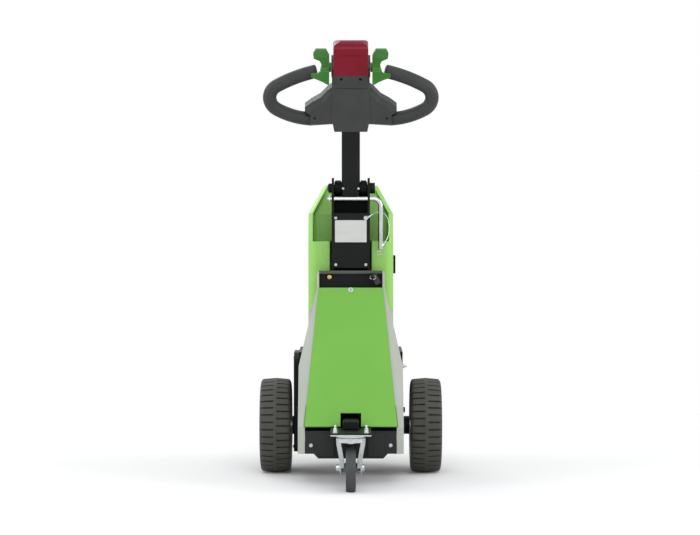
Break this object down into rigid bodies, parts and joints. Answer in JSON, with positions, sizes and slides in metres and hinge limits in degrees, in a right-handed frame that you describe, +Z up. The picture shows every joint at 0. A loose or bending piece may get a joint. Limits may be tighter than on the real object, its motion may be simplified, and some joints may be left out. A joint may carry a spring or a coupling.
{
  "type": "electric tow tractor",
  "caption": "Compact pedestrian tow tractor: driven rear wheels, swivel caster, sloped body with battery cover, mast with tilting tiller and grip loops, and a rear tow jaw.",
  "frame": {"origin": "on the floor under the middle of the overall box", "axes": "+Z up, -Y towards the operator and the caster, +Y towards the tow jaw, +X to the right in the picture"},
  "size_m": [0.497, 0.6876, 1.1818],
  "materials": {
    "tyre_rubber": "moulded rubber, matt",
    "rim_paint": "silver paint",
    "zinc_steel": "zinc plated",
    "bright_steel": "bright plated",
    "black_paint": "satin powder coat",
    "grey_paint": "satin powder coat",
    "green_paint": "gloss powder coat",
    "green_moulding": "moulded, gloss",
    "black_moulding": "moulded, fine grain",
    "grey_moulding": "moulded, fine grain",
    "red_moulding": "moulded, semi gloss",
    "brass": "polished",
    "caster_rubber": "moulded, matt",
    "cast_metal": "painted casting"
  },
  "bodies": {
    "chassis": {"caster_plate": "zinc_steel", "lanyard_eyelet": "zinc_steel", "pin_lanyard": "zinc_steel", "locking_pin": "bright_steel", "axle_housing": "black_paint", "chassis_plate_left": "black_paint", "chassis_plate_right": "black_paint", "chassis_deck": "black_paint", "chassis_rear_plate": "black_paint", "tow_jaw": "black_paint", "chain_case": "black_paint", "battery_tray": "black_paint", "front_panel": "black_paint", "caster_beam": "black_paint", "mast_plate_left": "black_paint", "mast_plate_right": "black_paint", "mast_back_plate": "black_paint", "mast_cover_plate": "black_paint", "pivot_shaft": "black_paint", "cover_hinge_bolts": "black_paint", "side_panel_left": "grey_paint", "side_panel_right": "grey_paint", "rear_housing": "grey_paint", "console_top": "grey_paint", "rear_hood": "green_moulding", "beam_end_cap": "black_moulding", "console_panel": "black_moulding", "key_switch": "black_moulding", "socket_flap": "black_moulding", "battery_block": "black_moulding", "panel_lamp": "brass", "drive_unit": "cast_metal"},
    "left_wheel": {"tyre_left": "tyre_rubber", "rim_left": "rim_paint", "stub_axle_left": "zinc_steel"},
    "right_wheel": {"tyre_right": "tyre_rubber", "rim_right": "rim_paint", "stub_axle_right": "zinc_steel"},
    "caster_swivel": {"caster_fork": "zinc_steel", "caster_axle": "zinc_steel"},
    "caster_wheel": {"caster_hub": "grey_moulding", "caster_tyre": "caster_rubber"},
    "cover": {"battery_cover": "green_paint", "cover_lock": "zinc_steel"},
    "tiller": {"tiller_arm": "black_paint", "tiller_head": "grey_moulding", "grip_left": "black_moulding", "grip_right": "black_moulding", "belly_button": "red_moulding", "throttle_left": "green_moulding", "throttle_right": "green_moulding", "head_buttons": "black_moulding"}
  },
  "joints": [
    {"name": "left_wheel_spin", "type": "hinge", "parent": "chassis", "child": "left_wheel", "pos_m": [-0.206, 0.13875, 0.13], "axis": [1, 0, 0], "continuous": true},
    {"name": "right_wheel_spin", "type": "hinge", "parent": "chassis", "child": "right_wheel", "pos_m": [0.206, 0.13875, 0.13], "axis": [1, 0, 0], "continuous": true},
    {"name": "caster_turn", "type": "hinge", "parent": "chassis", "child": "caster_swivel", "pos_m": [0, -0.30125, 0.14], "axis": [0, 0, 1], "continuous": true},
    {"name": "caster_spin", "type": "hinge", "parent": "caster_swivel", "child": "caster_wheel", "pos_m": [0, -0.26625, 0.0625], "axis": [1, 0, 0], "continuous": true},
    {"name": "cover_hinge", "type": "hinge", "parent": "chassis", "child": "cover", "pos_m": [0, -0.1653, 0.20229], "axis": [1, 0, 0], "range_deg": [0, 110]},
    {"name": "tiller_tilt", "type": "hinge", "parent": "chassis", "child": "tiller", "pos_m": [0, 0.10375, 0.784], "axis": [1, 0, 0], "range_deg": [0, 75], "stiffness_Nm_per_rad": 16, "springref_deg": -22.92}
  ]
}
